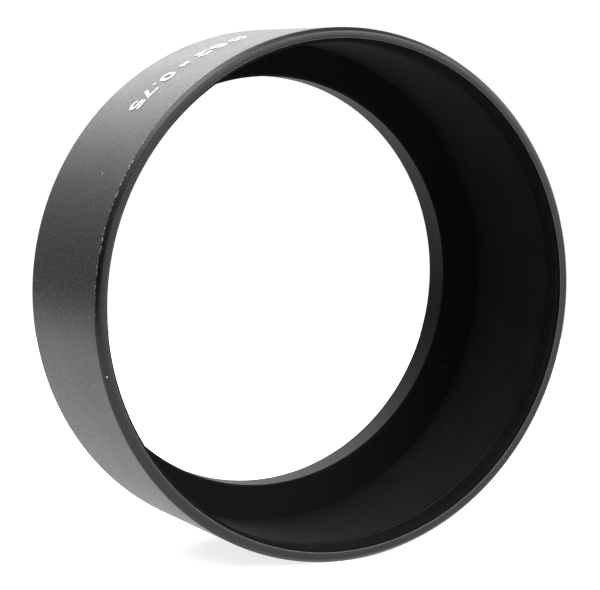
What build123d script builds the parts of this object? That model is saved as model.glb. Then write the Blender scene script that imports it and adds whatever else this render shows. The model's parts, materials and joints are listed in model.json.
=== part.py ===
from build123d import *
import math
import os

# Screw-in lens hood.
# Frame: +Y is the optical axis, from the open front to the lens. +Z is up. The origin is the
# centre of the lens seat, where the male thread starts. All sizes are in millimetres.

# Outer shell
outer_radius = 35.0
seat_depth = 23.6  # front rim to lens seat
rear_edge_depth = 22.3  # front rim to the end of the outer cylinder
front_chamfer = 0.5
seat_outer_radius = 33.0

# Front mouth and female filter thread
mouth_radius = 33.6
mouth_depth = 0.4
front_thread_radius = 33.1
front_thread_start = 0.75
front_thread_end = 3.15  # a relief groove follows, as far as the wall liner

# Room for the wall liner, and the shoulder that holds the mount ring
liner_bore_radius = 33.55
shoulder_depth = 22.2
neck_radius = 31.8

# Mount ring with the male lens thread
lens_thread_radius = 31.0
lens_thread_length = 3.0
lens_thread_chamfer = 0.25
bore_radius = 28.64
bore_chamfer = 0.15
lip_width = 0.26
lip_depth = 22.7
flange_edge_depth = 20.6

# Black liners
wall_liner_thickness = 0.4
wall_liner_front = 3.85
floor_liner_thickness = 0.3

# Both threads: fine pitch, right-handed, with a 60 degree groove
thread_pitch = 0.75
groove_depth = 0.42
groove_root_width = 0.09
groove_clearance = 0.10  # how far the cutter stands past the wall
run_out = 0.4  # plain wall left at the blind end of each thread

# Printed size marking
print_thickness = 0.06
figure_height = 2.9
figure_width = 1.95
stroke = 0.52
sign_radius = 1.25  # ring of the diameter sign
fine_stroke = 0.38
print_middle_depth = 11.3
print_end_angle = 46.0  # from the top of the hood, towards -X
sign_gap = 0.7
letter_gap = 0.42
word_gap = 1.15


def y_at(depth):
    """Height along the optical axis of a depth behind the front rim."""
    return depth - seat_depth


def turned(outline):
    """Solid of revolution about the optical axis from (radius, depth) points."""
    points = [(radius, y_at(depth)) for radius, depth in outline]
    return revolve(make_face(Polyline(*points, close=True)), Axis.Y)


def thread_cutter(wall_radius, start_depth, length, towards_front, groove_side):
    """Helical groove that starts in the wall and leaves at the open end.

    groove_side is -1 for a male thread, cut inwards, and +1 for a female one.
    """
    flank = groove_depth * math.tan(math.radians(30))
    half_root = groove_root_width / 2
    half_wall = half_root + flank
    half_top = half_wall + groove_clearance * math.tan(math.radians(30))
    path = Helix(pitch=thread_pitch, height=length, radius=wall_radius)
    section_plane = Plane(origin=path @ 0, x_dir=(groove_side, 0, 0), z_dir=path % 0)
    section = section_plane * make_face(
        Polyline(
            (-groove_clearance, half_top),
            (-groove_clearance, -half_top),
            (groove_depth, -half_root),
            (groove_depth, half_root),
            close=True,
        )
    )
    cutter = sweep(section, path=path, is_frenet=True)
    if towards_front:
        turn = Rot(90, 0, 0)
    else:
        turn = Rot(-90, 0, 0)
    return Pos(0, y_at(start_depth), 0) * turn * Rot(0, 0, 37) * cutter


def make_hood_shell():
    """Outer tube with the front thread and the rear seat shoulder."""
    body = turned(
        [
            (mouth_radius, 0),
            (outer_radius - front_chamfer, 0),
            (outer_radius, front_chamfer),
            (outer_radius, rear_edge_depth),
            (seat_outer_radius, seat_depth),
            (neck_radius, seat_depth),
            (neck_radius, shoulder_depth),
            (liner_bore_radius, shoulder_depth),
            (liner_bore_radius, front_thread_end),
            (front_thread_radius, front_thread_end),
            (front_thread_radius, front_thread_start),
            (mouth_radius, mouth_depth),
        ]
    )
    thread_start = front_thread_end - run_out
    return body - thread_cutter(
        front_thread_radius, thread_start, thread_start, True, 1
    )


def flange_depth(radius):
    """Depth of the mount ring's conical floor at a radius."""
    inner = bore_radius + lip_width
    slope = (lip_depth - flange_edge_depth) / (liner_bore_radius - inner)
    return lip_depth - slope * (radius - inner)


def make_mount_ring():
    """Rear ring: conical floor flange, neck, male lens thread and bore."""
    end_depth = seat_depth + lens_thread_length
    body = turned(
        [
            (bore_radius, lip_depth + bore_chamfer),
            (bore_radius + bore_chamfer, lip_depth),
            (bore_radius + lip_width, lip_depth),
            (liner_bore_radius, flange_edge_depth),
            (liner_bore_radius, shoulder_depth),
            (neck_radius, shoulder_depth),
            (neck_radius, seat_depth),
            (lens_thread_radius, seat_depth),
            (lens_thread_radius, end_depth - lens_thread_chamfer),
            (lens_thread_radius - lens_thread_chamfer, end_depth),
            (bore_radius + bore_chamfer, end_depth),
            (bore_radius, end_depth - bore_chamfer),
        ]
    )
    return body - thread_cutter(
        lens_thread_radius, seat_depth + run_out, lens_thread_length, False, -1
    )


def make_wall_liner():
    """Matt black sleeve inside the shell, from the front thread to the floor."""
    inner = liner_bore_radius - wall_liner_thickness
    return turned(
        [
            (inner, wall_liner_front),
            (liner_bore_radius, wall_liner_front),
            (liner_bore_radius, flange_depth(liner_bore_radius)),
            (inner, flange_depth(inner)),
        ]
    )


def make_floor_liner():
    """Matt black ring on the conical floor, inside the wall liner."""
    inner = bore_radius + lip_width
    outer = liner_bore_radius - wall_liner_thickness
    return turned(
        [
            (inner, flange_depth(inner) - floor_liner_thickness),
            (outer, flange_depth(outer) - floor_liner_thickness),
            (outer, flange_depth(outer)),
            (inner, flange_depth(inner)),
        ]
    )


# Figures of the size marking. Each is drawn round x = 0, standing on y = 0.
bowl = (figure_width - stroke) / 2  # radius of a round's centre line
low = stroke / 2
high = figure_height - stroke / 2


def pen(*lines):
    """Strokes of one width along joined centre lines."""
    return trace(Curve() + list(lines), line_width=stroke)


def diameter_sign():
    """Round ring with a slanting stroke through it, in thinner lines."""
    ring = Circle(sign_radius) - Circle(sign_radius - fine_stroke)
    reach = figure_height / 2 - low / 2
    slash = Line((-sign_radius * 0.85, -reach), (sign_radius * 0.85, reach))
    return Pos(0, figure_height / 2) * (ring + trace(slash, line_width=fine_stroke))


def figure_six():
    """Closed bowl below, stem on the left, short hook at the top."""
    ring = Circle(bowl + low) - Circle(bowl - low)
    stem = Line((-bowl, low + bowl), (-bowl, high - bowl))
    hook = CenterArc((0, high - bowl), bowl, 35, 145)
    return Pos(0, low + bowl) * ring + pen(stem, hook)


def figure_two():
    """Open round at the top, diagonal, flat base."""
    crown = CenterArc((0, high - bowl), bowl, -40, 205)
    diagonal = Line(crown @ 0, (-bowl, low))
    base = Line((-bowl, low), (bowl, low))
    return pen(crown, diagonal, base) + Pos(-bowl, low) * Circle(low)


def figure_zero():
    """Tall rounded ring."""
    outer = SlotOverall(figure_height, figure_width, rotation=90)
    inner = SlotOverall(
        figure_height - 2 * stroke, figure_width - 2 * stroke, rotation=90
    )
    return Pos(0, figure_height / 2) * (outer - inner)


def figure_seven():
    """Flat top and one slanted leg."""
    bar = Line((-bowl - low, high), (bowl, high))
    leg = Line((bowl, high), (-bowl * 0.35, 0))
    return pen(bar, leg) + Pos(bowl, high) * Circle(low)


def figure_five():
    """Flat top, short stem, open bowl."""
    middle = figure_height * 0.56
    bar = Line((-bowl, high), (bowl, high))
    stem = Line((-bowl, high), (-bowl, middle))
    belly = CenterArc((0, low + bowl), bowl, -155, 295)
    corner = Pos(-bowl, high) * Rectangle(stroke, stroke)
    return pen(bar, stem) + pen(belly) + corner


def figure_times():
    """Multiplication cross, centred on the figures' middle."""
    arm = bowl * 0.82
    middle = figure_height * 0.44
    rising = Line((-arm, middle - arm), (arm, middle + arm))
    falling = Line((-arm, middle + arm), (arm, middle - arm))
    return pen(rising) + pen(falling)


def figure_point():
    """Decimal point."""
    return Pos(0, low) * Rectangle(stroke, stroke)


def make_size_marking():
    """Raised print on the outer wall: thread diameter times pitch, in signs and figures."""
    wide = figure_width
    text = [
        (diameter_sign(), 2 * sign_radius, sign_gap),
        (figure_six(), wide, letter_gap),
        (figure_two(), wide, word_gap),
        (figure_times(), wide * 0.85, word_gap),
        (figure_zero(), wide, letter_gap),
        (figure_point(), stroke, letter_gap),
        (figure_seven(), wide, letter_gap),
        (figure_five(), wide, 0),
    ]
    skin = turned(
        [
            (outer_radius, front_chamfer),
            (outer_radius + print_thickness, front_chamfer),
            (outer_radius + print_thickness, rear_edge_depth),
            (outer_radius, rear_edge_depth),
        ]
    )
    length = sum(width + gap for _, width, gap in text)
    print_radius = outer_radius + print_thickness
    start = print_end_angle - math.degrees(length / print_radius)
    baseline = y_at(print_middle_depth) + figure_height / 2
    figures = []
    along = 0
    for sketch, width, gap in text:
        angle = math.radians(start) + (along + width / 2) / print_radius
        outwards = Vector(-math.sin(angle), 0, math.cos(angle))
        reading = Vector(-math.cos(angle), 0, -math.sin(angle))
        plane = Plane(
            origin=outwards * (outer_radius - 1) + Vector(0, baseline, 0),
            x_dir=reading,
            z_dir=outwards,
        )
        prism = extrude(plane * sketch, amount=2)
        figures += (prism & skin).solids()
        along += width + gap
    return Compound(figures)


parts = {
    "hood_shell": make_hood_shell(),
    "mount_ring": make_mount_ring(),
    "wall_liner": make_wall_liner(),
    "floor_liner": make_floor_liner(),
    "size_marking": make_size_marking(),
}

os.makedirs("parts", exist_ok=True)
for name, shape in parts.items():
    export_step(shape, f"parts/{name}.step")
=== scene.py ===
import json
import math

import bmesh
import bpy
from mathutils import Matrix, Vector


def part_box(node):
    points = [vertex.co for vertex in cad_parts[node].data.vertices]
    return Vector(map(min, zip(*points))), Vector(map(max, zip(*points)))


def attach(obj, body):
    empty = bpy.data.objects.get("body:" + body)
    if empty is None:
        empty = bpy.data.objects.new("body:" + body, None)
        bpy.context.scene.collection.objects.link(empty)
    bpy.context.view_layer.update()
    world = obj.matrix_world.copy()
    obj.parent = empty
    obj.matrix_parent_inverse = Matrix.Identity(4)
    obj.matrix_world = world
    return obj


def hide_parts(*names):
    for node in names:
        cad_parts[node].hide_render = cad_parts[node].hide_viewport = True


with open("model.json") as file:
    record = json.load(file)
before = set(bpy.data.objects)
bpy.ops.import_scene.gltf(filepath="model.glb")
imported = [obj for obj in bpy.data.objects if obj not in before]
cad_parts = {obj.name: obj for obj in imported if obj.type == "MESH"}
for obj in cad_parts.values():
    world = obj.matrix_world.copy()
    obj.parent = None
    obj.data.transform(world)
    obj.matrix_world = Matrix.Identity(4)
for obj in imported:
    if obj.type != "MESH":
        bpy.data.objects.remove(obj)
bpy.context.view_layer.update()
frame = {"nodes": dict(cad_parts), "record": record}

MM = 0.001
ROOT = "root"
AROUND = 720  # columns of vertices round the optical axis, which is Y
EDGE = 0.06 * MM  # size of the small rounds on turned corners

# Camera: a long lens, aimed beside the middle of the front. Lengths are in outer radii.
CAMERA_TURN = math.radians(27.57)
CAMERA_LIFT = math.radians(6.15)
CAMERA_LENS_MM = 124.9
CAMERA_DISTANCE = 7.752
AIM_LEFT = 0.1656
AIM_UP = 0.0094

# Colours
BLACK_DYE = (0.0018, 0.0018, 0.0019)
FADED_DYE = (0.004, 0.0038, 0.0036)
# bright specks painted into the blasted wall's colour, standing for its glints
PAINTED_GLINT = (0.12, 0.12, 0.122)
BARE_METAL = (0.5, 0.5, 0.51)
DUST = (0.75, 0.74, 0.72)
LINT = (0.05, 0.05, 0.05)
WHITE = (1, 1, 1)
ROSY = (1.03, 0.985, 1.0)

# Floor, as the camera sees it and as it lights the hood
FLOOR_REACH = 0.22  # radius of the round table top
SEEN_TONE = 0.85
SEEN_GLOW = 0.76
BOUNCE_GLOW = 1.15


# ---------------------------------------------------------------- sizes from the frame
def turned_points(node):
    """Radius round the optical axis, and place along it, of each vertex of a CAD node."""
    vertices = frame["nodes"][node].data.vertices
    return [(math.hypot(v.co.x, v.co.z), v.co.y) for v in vertices]


def ring_radii(node, y=None, reach=0.02 * MM):
    """Radii of a CAD node's vertices, all of them or those in one plane."""
    return [r for r, place in turned_points(node) if y is None or abs(place - y) < reach]


def ring_places(node, radius, reach=0.002 * MM):
    """Places along the optical axis of a CAD node's vertices at one radius."""
    return [place for r, place in turned_points(node) if abs(r - radius) < reach]


def mount(name):
    """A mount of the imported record."""
    return next(m for m in frame["record"]["mounts"] if m["name"] == name)


shell_low, shell_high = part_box("hood_shell")
ring_low, ring_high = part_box("mount_ring")
wall_low, wall_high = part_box("wall_liner")
floor_low, floor_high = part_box("floor_liner")

FRONT = shell_low.y  # plane of the rim
SEAT = shell_high.y  # plane of the lens seat
THREAD_END = ring_high.y
OUTER = max(ring_radii("hood_shell"))
RIM_OUTER = max(ring_radii("hood_shell", FRONT))
MOUTH = min(ring_radii("hood_shell", FRONT))
SEAT_OUTER = max(ring_radii("hood_shell", SEAT))
NECK = min(ring_radii("hood_shell", SEAT))
LINER_BORE = max(ring_radii("wall_liner"))
WALL = min(ring_radii("wall_liner"))
WALL_FRONT = wall_low.y
BORE = min(ring_radii("mount_ring"))
FLOOR_HOLE = min(ring_radii("floor_liner"))
FLOOR_BACK = floor_high.y
FLANGE_FRONT = ring_low.y
FRONT_CREST = mount("front_thread")["dims"]["r_mm"] * MM
LENS_CREST = mount("lens_thread")["dims"]["r_mm"] * MM

CHAMFER = OUTER - RIM_OUTER
REAR_EDGE = max(ring_places("hood_shell", OUTER))  # the rear cone starts here
SHOULDER = max(ring_places("hood_shell", LINER_BORE))  # step that holds the mount ring
MOUTH_BACK = max(ring_places("hood_shell", MOUTH))
FRONT_THREAD_START = min(ring_places("hood_shell", FRONT_CREST))
FRONT_THREAD_END = min(ring_places("hood_shell", LINER_BORE))
LIP_FRONT = FLOOR_BACK  # the bore's front edge is level with the floor's inner edge
FLOOR_SKIN = FLOOR_BACK - min(ring_places("floor_liner", FLOOR_HOLE))

PITCH = 0.75 * MM
GROOVE = 0.42 * MM
RUN_OUT = 0.4 * MM  # length over which a groove fades out at its blind end
RELIEF = FRONT_CREST + 0.12 * MM  # shallow groove between the front thread and the lining
LENS_THREAD_CHAMFER = 0.5 * MM  # deeper than the groove, so that the end face is round


# ---------------------------------------------------------------- mesh making
def rounded(outline, steps=3):
    """Points of an outline of (radius, y, bevel) corners, each bevel replaced by a small round."""
    made = []
    last = len(outline) - 1
    for i, (radius, y, bevel) in enumerate(outline):
        here = Vector((radius, y))
        if bevel == 0 or i in (0, last):
            made.append(here)
            continue
        before = (Vector(outline[i - 1][:2]) - here).normalized() * bevel
        after = (Vector(outline[i + 1][:2]) - here).normalized() * bevel
        for step in range(steps + 1):
            t = step / steps
            made.append(here + before * (1 - t) ** 2 + after * t**2)
    return made


def at(radius, y, column):
    """Vertex place: column 0 is the top of the hood, and columns turn right-handed about +Y."""
    angle = 2 * math.pi * column / AROUND
    return Vector((radius * math.sin(angle), y, radius * math.cos(angle)))


def turn_outline(mesh, outline):
    """Adds the surface of revolution of an open outline."""
    rows = [
        [mesh.verts.new(at(p.x, p.y, c)) for c in range(AROUND)]
        for p in rounded(outline)
    ]
    for low, high in zip(rows, rows[1:]):
        for c in range(AROUND):
            d = (c + 1) % AROUND
            mesh.faces.new((low[c], low[d], high[d], high[c]))


def groove_profile():
    """Offsets along one pitch, and the groove's share of full depth there.

    The groove has 60 degree flanks, and soft corners that stay within half a pitch.
    """
    half_root = 0.06 * PITCH
    half_wall = half_root + GROOVE * math.tan(math.radians(30))
    soft = 0.036 * PITCH
    middle = PITCH / 2
    half = [
        (half_wall + 3 * soft, 0),
        (half_wall + soft, 0.02),
        (half_wall - soft, 0.10),
        (half_wall * 0.5 + half_root * 0.5, 0.5),
        (half_root + soft, 0.93),
        (half_root - soft, 1.0),
    ]
    down = [(middle - reach, depth) for reach, depth in half]
    up = [(middle + reach, depth) for reach, depth in reversed(half)]
    return [(0.0, 0.0)] + down + up


def turn_thread(mesh, crest, y_low, y_high, side, runs_out_low, end_radius):
    """Adds a threaded wall: rows of vertices follow the helix, held between y_low and y_high.

    side is +1 where the groove goes outwards (female) and -1 where it goes inwards (male).
    end_radius(y) is the chamfer at the open end. The groove fades out at the blind end.
    """
    profile = groove_profile()
    rows_per_pitch = len(profile)
    pitches = math.ceil((y_high - y_low) / PITCH) + 2
    row_count = rows_per_pitch * pitches

    def place(column, row):
        turn, k = divmod(row, rows_per_pitch)
        offset, depth = profile[k]
        y = y_low + PITCH * (column / AROUND - 1 + turn) + offset
        y = min(max(y, y_low), y_high)
        past_blind_end = y - y_low if runs_out_low else y_high - y
        fade = min(1.0, past_blind_end / RUN_OUT)
        fade = fade * fade * (3 - 2 * fade)
        radius = crest + side * GROOVE * depth * fade
        limit = end_radius(y)
        radius = max(radius, limit) if side > 0 else min(radius, limit)
        return at(radius, y, column)

    grid = [
        [mesh.verts.new(place(c, k)) for k in range(row_count)] for c in range(AROUND)
    ]
    for c in range(AROUND):
        wraps = c == AROUND - 1
        beside = grid[0] if wraps else grid[c + 1]
        shift = rows_per_pitch if wraps else 0
        for k in range(row_count - 1 - shift):
            mesh.faces.new(
                (grid[c][k], beside[k + shift], beside[k + shift + 1], grid[c][k + 1])
            )


def finish_piece(mesh, name, materials, slot, *nodes):
    """Closes the mesh into one piece that rides on the hood and stands for its CAD nodes."""
    bmesh.ops.remove_doubles(mesh, verts=mesh.verts, dist=2e-8)
    bmesh.ops.dissolve_degenerate(mesh, edges=mesh.edges, dist=2e-8)
    bmesh.ops.recalc_face_normals(mesh, faces=mesh.faces)
    data = bpy.data.meshes.new(name)
    mesh.to_mesh(data)
    mesh.free()
    data.polygons.foreach_set("use_smooth", [True] * len(data.polygons))
    data.set_sharp_from_angle(angle=math.radians(38))
    for material in materials:
        data.materials.append(material)
    piece = bpy.data.objects.new(name, data)
    bpy.context.scene.collection.objects.link(piece)
    weights = piece.modifiers.new("weights", "WEIGHTED_NORMAL")
    weights.keep_sharp = True
    weights.weight = 80
    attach(piece, ROOT)
    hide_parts(*nodes)
    return piece


# ---------------------------------------------------------------- materials
class Nodes:
    """Short calls for building one material's node tree."""

    def __init__(self, name):
        self.material = bpy.data.materials.new(name)
        self.material.use_nodes = True
        self.tree = self.material.node_tree
        self.shader = self.tree.nodes["Principled BSDF"]
        self.place = self.add("ShaderNodeTexCoord").outputs["Object"]

    def add(self, kind, **settings):
        node = self.tree.nodes.new(kind)
        for key, value in settings.items():
            setattr(node, key, value)
        return node

    def link(self, source, target):
        self.tree.links.new(source, target)

    def noise(self, size, detail=2.0, rough=0.5, place=None):
        """Noise whose features are about size metres across."""
        node = self.add("ShaderNodeTexNoise")
        node.inputs["Scale"].default_value = 1 / size
        node.inputs["Detail"].default_value = detail
        node.inputs["Roughness"].default_value = rough
        self.link(place or self.place, node.inputs["Vector"])
        return node.outputs["Fac"]

    def spread(self, source, low, high, from_low=0.3, from_high=0.7):
        """Maps a value onto a range."""
        node = self.add("ShaderNodeMapRange")
        node.inputs["From Min"].default_value = from_low
        node.inputs["From Max"].default_value = from_high
        node.inputs["To Min"].default_value = low
        node.inputs["To Max"].default_value = high
        self.link(source, node.inputs["Value"])
        return node.outputs["Result"]

    def blend(self, factor, low, high):
        """Colour from low to high. Each end is a colour or a socket."""
        node = self.add("ShaderNodeMix", data_type="RGBA")
        self.link(factor, node.inputs["Factor"])
        for socket, end in ((node.inputs[6], low), (node.inputs[7], high)):
            if isinstance(end, tuple):
                socket.default_value = (*end, 1)
            else:
                self.link(end, socket)
        return node.outputs[2]

    def mix(self, factor, low, high):
        """Value from low, a socket, to high, a number."""
        node = self.add("ShaderNodeMix", data_type="FLOAT")
        self.link(factor, node.inputs["Factor"])
        self.link(low, node.inputs[2])
        node.inputs[3].default_value = high
        return node.outputs[0]

    def math(self, operation, *values):
        node = self.add("ShaderNodeMath", operation=operation)
        for socket, value in zip(node.inputs, values):
            if isinstance(value, (int, float)):
                socket.default_value = value
            else:
                self.link(value, socket)
        return node.outputs[0]

    def product(self, first, *others):
        for other in others:
            first = self.math("MULTIPLY", first, other)
        return first

    def radius_and_y(self):
        """Distance from the optical axis, and place along it."""
        parts = self.add("ShaderNodeSeparateXYZ")
        self.link(self.place, parts.inputs[0])
        x2 = self.math("POWER", self.math("ABSOLUTE", parts.outputs["X"]), 2)
        z2 = self.math("POWER", self.math("ABSOLUTE", parts.outputs["Z"]), 2)
        return self.math("SQRT", self.math("ADD", x2, z2)), parts.outputs["Y"]

    def distance_to(self, radius, along, edge_radius, edge_y):
        """Distance from a circular edge round the optical axis."""
        out = self.math("ABSOLUTE", self.math("SUBTRACT", radius, edge_radius))
        back = self.math("ABSOLUTE", self.math("SUBTRACT", along, edge_y))
        total = self.math("ADD", self.math("POWER", out, 2), self.math("POWER", back, 2))
        return self.math("SQRT", total)

    def ring_place(self, radius):
        """Texture place that depends only on the radius, for turning marks."""
        node = self.add("ShaderNodeCombineXYZ")
        self.link(radius, node.inputs[0])
        return node.outputs[0]

    def near_place(self, centre, reach):
        """1 at a place, fading to 0 at the reach."""
        node = self.add("ShaderNodeVectorMath", operation="DISTANCE")
        self.link(self.place, node.inputs[0])
        node.inputs[1].default_value = centre
        return self.spread(node.outputs["Value"], 1, 0, 0.4 * reach, reach)

    def specks(self, cell, size, share):
        """Scattered round dots: 1 inside. size is in cells, and only a share of cells has one."""
        node = self.add("ShaderNodeTexVoronoi")
        node.inputs["Scale"].default_value = 1 / cell
        self.link(self.place, node.inputs["Vector"])
        dots = self.spread(node.outputs["Distance"], 1, 0, size * 0.7, size)
        parts = self.add("ShaderNodeSeparateColor")
        self.link(node.outputs["Color"], parts.inputs[0])
        chosen = self.math("LESS_THAN", parts.outputs[0], share)
        return self.math("MULTIPLY", dots, chosen)

    def bump(self, height, strength, distance, normal=None):
        node = self.add("ShaderNodeBump")
        node.inputs["Strength"].default_value = strength
        node.inputs["Distance"].default_value = distance
        self.link(height, node.inputs["Height"])
        if normal is not None:
            self.link(normal, node.inputs["Normal"])
        return node.outputs["Normal"]


def anodised(name, roughness, ior, worn_and_highlit_edges=()):
    """Black anodising over a fine bead blast with painted glints, edge wear with a painted
    highlight, and a little dust.

    The edges given are (radius, y, brightness, chipped) of sharp corners: the brightness is that
    of the wear together with a painted highlight, and a chipped edge has a few bright nicks on its
    upper left.
    """
    n = Nodes(name)
    n.shader.inputs["IOR"].default_value = ior
    radius, along = n.radius_and_y()
    clouds = n.noise(7 * MM, 3)
    blast = n.noise(0.2 * MM, 2, 0.7)
    scuffs = n.noise(0.3 * MM, 4, 0.7)

    # The rim and its chamfer are turned, and everything behind them is blasted.
    blasted = n.spread(along, 0, 1, FRONT + 0.9 * CHAMFER, FRONT + 1.3 * CHAMFER)
    turned = n.spread(n.noise(0.16 * MM, 2, 0.6, n.ring_place(radius)), -0.22, 0.02)
    turned = n.math("MULTIPLY_ADD", turned, n.math("SUBTRACT", 1, blasted), roughness)
    gloss = n.math("ADD", n.spread(blast, -0.1, 0.1), turned)
    gloss = n.mix(n.spread(clouds, 0, 0.12), gloss, roughness + 0.3)
    relief = n.product(n.math("SUBTRACT", blast, 0.5), n.spread(blasted, 0.45, 1, 0, 1))

    colour = n.blend(n.spread(clouds, 0, 1), BLACK_DYE, FADED_DYE)
    # Painted glints: bright specks in the colour of the blasted wall, in place of glints from
    # light.
    painted_glints = n.product(n.spread(n.noise(0.27 * MM, 3, 0.8), 0, 1, 0.56, 0.68), blasted)
    colour = n.blend(painted_glints, colour, PAINTED_GLINT)
    colour = n.blend(n.specks(2.6 * MM, 0.05, 0.22), colour, DUST)
    knocked = n.near_place((-0.93 * OUTER, FRONT, 0.37 * OUTER), 0.45 * OUTER)
    # Each edge gets a lighter line: real wear together with a painted highlight.
    for edge_radius, edge_y, wear_and_highlight_tone, chipped in worn_and_highlit_edges:
        away = n.distance_to(radius, along, edge_radius, edge_y)
        wear_and_highlight = n.product(n.spread(away, 0.8, 0, 0, 0.09 * MM), n.spread(scuffs, 0.3, 1))
        colour = n.blend(wear_and_highlight, colour, (wear_and_highlight_tone,) * 3)
        if chipped:
            near = n.spread(away, 1, 0, 0.05 * MM, 0.18 * MM)
            chips = n.product(near, n.spread(scuffs, 0, 1, 0.53, 0.6), knocked)
            colour = n.blend(chips, colour, BARE_METAL)

    n.link(colour, n.shader.inputs["Base Color"])
    n.link(gloss, n.shader.inputs["Roughness"])
    n.link(n.bump(relief, 0.7, 0.045 * MM), n.shader.inputs["Normal"])
    return n.material


def matt_black(name, tone, roughness, ior):
    """Dull black lining paint, faintly uneven."""
    n = Nodes(name)
    n.shader.inputs["IOR"].default_value = ior
    clouds = n.noise(5 * MM, 3)
    fine = n.noise(0.2 * MM, 3, 0.7)
    colour = n.blend(n.spread(clouds, 0, 1), (tone * 0.7,) * 3, (tone * 1.3,) * 3)
    colour = n.blend(n.specks(3.5 * MM, 0.03, 0.25), colour, LINT)
    n.link(colour, n.shader.inputs["Base Color"])
    n.link(n.spread(fine, roughness - 0.05, roughness + 0.05), n.shader.inputs["Roughness"])
    n.link(n.bump(fine, 0.4, 0.02 * MM), n.shader.inputs["Normal"])
    return n.material


def white_ink(name):
    """Matt white printing ink, slightly uneven."""
    n = Nodes(name)
    patches = n.noise(0.5 * MM, 3)
    n.link(
        n.blend(n.spread(patches, 0, 1), (0.8, 0.8, 0.79), (0.94, 0.94, 0.93)),
        n.shader.inputs["Base Color"],
    )
    n.link(n.spread(patches, 0.45, 0.6), n.shader.inputs["Roughness"])
    n.link(n.bump(n.noise(0.1 * MM), 0.2, 0.01 * MM), n.shader.inputs["Normal"])
    return n.material


# ---------------------------------------------------------------- the pieces
def make_shell(metal, paint):
    """Outer tube: rim, shallow mouth, front thread, relief groove, liner bore, rear shoulder.

    The outline runs from the back of the front thread round the outside to the mouth. The
    inside is painted.
    """
    mesh = bmesh.new()
    turn_outline(
        mesh,
        [
            (FRONT_CREST, FRONT_THREAD_END, 0),
            (RELIEF, FRONT_THREAD_END, EDGE),
            (RELIEF, WALL_FRONT, 0),
            (LINER_BORE, WALL_FRONT, 0),
            (LINER_BORE, SHOULDER, EDGE),
            (NECK, SHOULDER, EDGE),
            (NECK, SEAT, EDGE),
            (SEAT_OUTER, SEAT, 3 * EDGE),
            (OUTER, REAR_EDGE, 3 * EDGE),
            (OUTER, FRONT + CHAMFER, 2 * EDGE),
            (RIM_OUTER, FRONT, 2 * EDGE),
            (MOUTH, FRONT, EDGE),
            (MOUTH, MOUTH_BACK, 0),
        ],
    )

    def lead_in(y):
        share = (FRONT_THREAD_START - y) / (FRONT_THREAD_START - MOUTH_BACK)
        return FRONT_CREST + (MOUTH - FRONT_CREST) * min(max(share, 0), 1)

    turn_thread(mesh, FRONT_CREST, MOUTH_BACK, FRONT_THREAD_END, 1, False, lead_in)
    slack = 0.01 * MM
    for face in mesh.faces:
        middle = face.calc_center_median()
        inside = math.hypot(middle.x, middle.z) < MOUTH + slack
        face.material_index = int(inside and FRONT < middle.y < SHOULDER - slack)
    return finish_piece(mesh, "shell_body", (metal, paint), "shell_anodised", "hood_shell")


def flange_y(radius):
    """Height of the mount ring's conical floor at a radius."""
    share = (radius - FLOOR_HOLE) / (LINER_BORE - FLOOR_HOLE)
    return LIP_FRONT + (FLANGE_FRONT - LIP_FRONT) * share


def make_mount_ring(metal, paint):
    """Rear ring: floor flange, neck, male lens thread, bore with its lip. The bore is painted."""
    mesh = bmesh.new()
    end_radius = LENS_CREST - LENS_THREAD_CHAMFER
    turn_outline(
        mesh,
        [
            (end_radius, THREAD_END, 0),
            (BORE, THREAD_END, 2 * EDGE),
            (BORE, LIP_FRONT, 2 * EDGE),
            (FLOOR_HOLE, LIP_FRONT, EDGE),
            (LINER_BORE, FLANGE_FRONT, EDGE),
            (LINER_BORE, SHOULDER, EDGE),
            (NECK, SHOULDER, EDGE),
            (NECK, SEAT, EDGE),
            (LENS_CREST, SEAT, 0),
        ],
    )

    def end_chamfer(y):
        share = 1 - (THREAD_END - y) / LENS_THREAD_CHAMFER
        return LENS_CREST - LENS_THREAD_CHAMFER * min(max(share, 0), 1)

    turn_thread(mesh, LENS_CREST, SEAT, THREAD_END, -1, True, end_chamfer)
    for face in mesh.faces:
        middle = face.calc_center_median()
        face.material_index = int(math.hypot(middle.x, middle.z) < FLOOR_HOLE)
    return finish_piece(
        mesh, "mount_ring_body", (metal, paint), "ring_anodised", "mount_ring"
    )


def closed(outline):
    """The outline back to its start, from the middle of its first side."""
    first, second = outline[0], outline[1]
    start = ((first[0] + second[0]) / 2, (first[1] + second[1]) / 2, 0)
    return [start] + outline[1:] + [first, start]


def make_wall_liner(paint):
    """Black sleeve, with a softly rounded front edge."""
    mesh = bmesh.new()
    soft = 0.14 * MM
    edge = 0.04 * MM
    turn_outline(
        mesh,
        closed(
            [
                (WALL, WALL_FRONT, soft),
                (LINER_BORE, WALL_FRONT, soft),
                (LINER_BORE, flange_y(LINER_BORE), edge),
                (WALL, flange_y(WALL), edge),
            ]
        ),
    )
    return finish_piece(mesh, "wall_lining", (paint,), "wall_matt_black", "wall_liner")


def make_floor_liner(paint):
    """Black conical ring on the floor."""
    mesh = bmesh.new()
    soft = 0.1 * MM
    edge = 0.03 * MM
    turn_outline(
        mesh,
        closed(
            [
                (FLOOR_HOLE, flange_y(FLOOR_HOLE) - FLOOR_SKIN, soft),
                (FLOOR_HOLE, flange_y(FLOOR_HOLE), edge),
                (WALL, flange_y(WALL), edge),
                (WALL, flange_y(WALL) - FLOOR_SKIN, edge),
            ]
        ),
    )
    return finish_piece(
        mesh, "floor_lining", (paint,), "floor_matt_black", "floor_liner"
    )


def paint_node(name, material):
    """A CAD node keeps its shape and gets a better material."""
    node = frame["nodes"][name]
    node.data.materials.clear()
    node.data.materials.append(material)
    return node


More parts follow.
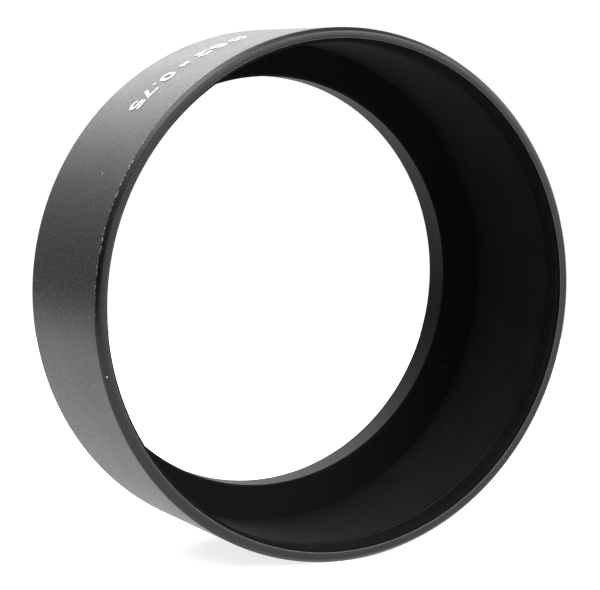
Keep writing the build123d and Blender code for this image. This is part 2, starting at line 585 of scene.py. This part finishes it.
# ---------------------------------------------------------------- stage, light, camera
def make_floor():
    """Pale plain floor that the hood stands on.

    The camera sees it white, with a shadow only where nearly all light is blocked. To the
    hood it is an almost even glow.
    """
    mesh = bmesh.new()
    columns = 96
    rim = []
    for c in range(columns):
        turn = 2 * math.pi * c / columns
        place = (FLOOR_REACH * math.cos(turn), FLOOR_REACH * math.sin(turn), -OUTER)
        rim.append(mesh.verts.new(place))
    mesh.faces.new(rim)
    data = bpy.data.meshes.new("floor")
    mesh.to_mesh(data)
    mesh.free()
    n = Nodes("pale_floor")
    seen = n.add("ShaderNodeLightPath").outputs["Is Camera Ray"]
    reflected = n.blend(n.noise(0.1), (0.05,) * 3, (0.06,) * 3)
    n.link(n.blend(seen, reflected, (SEEN_TONE,) * 3), n.shader.inputs["Base Color"])
    n.link(
        n.spread(seen, BOUNCE_GLOW, SEEN_GLOW, 0, 1),
        n.shader.inputs["Emission Strength"],
    )
    n.shader.inputs["Emission Color"].default_value = (*WHITE, 1)
    n.shader.inputs["Roughness"].default_value = 0.9
    n.shader.inputs["Specular IOR Level"].default_value = 0.0
    data.materials.append(n.material)
    floor = bpy.data.objects.new("floor", data)
    bpy.context.scene.collection.objects.link(floor)


def aim(thing, place, target):
    thing.location = place
    thing.rotation_mode = "QUATERNION"
    thing.rotation_quaternion = (target - place).to_track_quat("-Z", "Y")


def heading(azimuth, elevation):
    """Direction of a light: azimuth turns from +Y towards +X."""
    a, e = math.radians(azimuth), math.radians(elevation)
    return (math.sin(a) * math.cos(e), math.cos(a) * math.cos(e), math.sin(e))


def make_studio():
    """Soft lights in the world: (heading, tightness, strength, colour). The camera sees white."""
    lights = {
        "overhead": (heading(-38, 65), 9, 3.3, ROSY),
        "key": (heading(-140, 60), 16, 6.5, WHITE),
        "back": (heading(6, 27), 24, 2.5, WHITE),
        "sweep": (heading(26, 10), 8, 1.8, WHITE),
        "side": (heading(80, 24), 10, 1.2, WHITE),
        "front": (heading(146, 23), 16, 7.6, WHITE),
    }
    world = bpy.data.worlds.new("studio")
    bpy.context.scene.world = world
    world.use_nodes = True
    tree = world.node_tree
    tree.nodes.clear()

    def calculate(kind, operation, *values):
        node = tree.nodes.new(kind)
        node.operation = operation
        for socket, value in zip(node.inputs, values):
            if isinstance(value, bpy.types.NodeSocket):
                tree.links.new(value, socket)
            else:
                socket.default_value = value
        return node.outputs["Value" if operation == "DOT_PRODUCT" else 0]

    around = tree.nodes.new("ShaderNodeTexCoord").outputs["Generated"]
    total = (0.05, 0.05, 0.05)
    for centre, tightness, strength, colour in lights.values():
        facing = calculate("ShaderNodeVectorMath", "DOT_PRODUCT", around, centre)
        falloff = calculate("ShaderNodeMath", "MULTIPLY_ADD", facing, tightness, -tightness)
        glow = calculate("ShaderNodeMath", "EXPONENT", falloff)
        tinted = tuple(strength * c for c in colour)
        total = calculate("ShaderNodeVectorMath", "MULTIPLY_ADD", glow, tinted, total)
    studio = tree.nodes.new("ShaderNodeBackground")
    tree.links.new(total, studio.inputs["Color"])
    backdrop = tree.nodes.new("ShaderNodeBackground")
    backdrop.inputs["Color"].default_value = (*WHITE, 1)
    backdrop.inputs["Strength"].default_value = 1.05
    path = tree.nodes.new("ShaderNodeLightPath")
    choose = tree.nodes.new("ShaderNodeMixShader")
    tree.links.new(path.outputs["Is Camera Ray"], choose.inputs[0])
    tree.links.new(studio.outputs[0], choose.inputs[1])
    tree.links.new(backdrop.outputs[0], choose.inputs[2])
    out = tree.nodes.new("ShaderNodeOutputWorld")
    tree.links.new(choose.outputs[0], out.inputs["Surface"])


def make_camera():
    """Long lens, a little above the axis, seeing the front with the outer wall on its left."""
    flat = math.cos(CAMERA_LIFT)
    forward = Vector(
        (
            math.sin(CAMERA_TURN) * flat,
            math.cos(CAMERA_TURN) * flat,
            -math.sin(CAMERA_LIFT),
        )
    )
    right = Vector((math.cos(CAMERA_TURN), -math.sin(CAMERA_TURN), 0))
    up = right.cross(forward)
    front_circle = Vector((0, FRONT + CHAMFER, 0))
    target = front_circle + OUTER * (AIM_UP * up - AIM_LEFT * right)
    data = bpy.data.cameras.new("camera")
    data.sensor_width = 36
    data.lens = CAMERA_LENS_MM
    data.clip_start = 0.01
    data.clip_end = 20
    camera = bpy.data.objects.new("camera", data)
    bpy.context.scene.collection.objects.link(camera)
    aim(camera, target - forward * OUTER * CAMERA_DISTANCE, target)
    bpy.context.scene.camera = camera


# Rim edges (radius, y, brightness, chipped): their lighter lines are wear with a painted
# highlight.
RIM_EDGES = (
    (OUTER, FRONT + CHAMFER, 0.08, True),
    (RIM_OUTER, FRONT, 0.02, False),
    (MOUTH, FRONT, 0.26, False),
)
make_shell(
    anodised("satin_black_shell", 0.36, 1.5, RIM_EDGES),
    matt_black("inner_black", 0.003, 0.8, 1.2),
)
make_mount_ring(
    anodised("satin_black_ring", 0.45, 1.45),
    matt_black("bore_black", 0.002, 0.5, 1.22),
)
make_wall_liner(matt_black("wall_black", 0.0045, 0.9, 1.2))
# The floor lining's black is darker than the wall lining's: painted shade on the deep floor.
make_floor_liner(matt_black("floor_black", 0.0007, 0.6, 1.15))
paint_node("size_marking", white_ink("print_white"))

make_floor()
make_studio()
make_camera()
bpy.context.scene.view_settings.view_transform = "Standard"
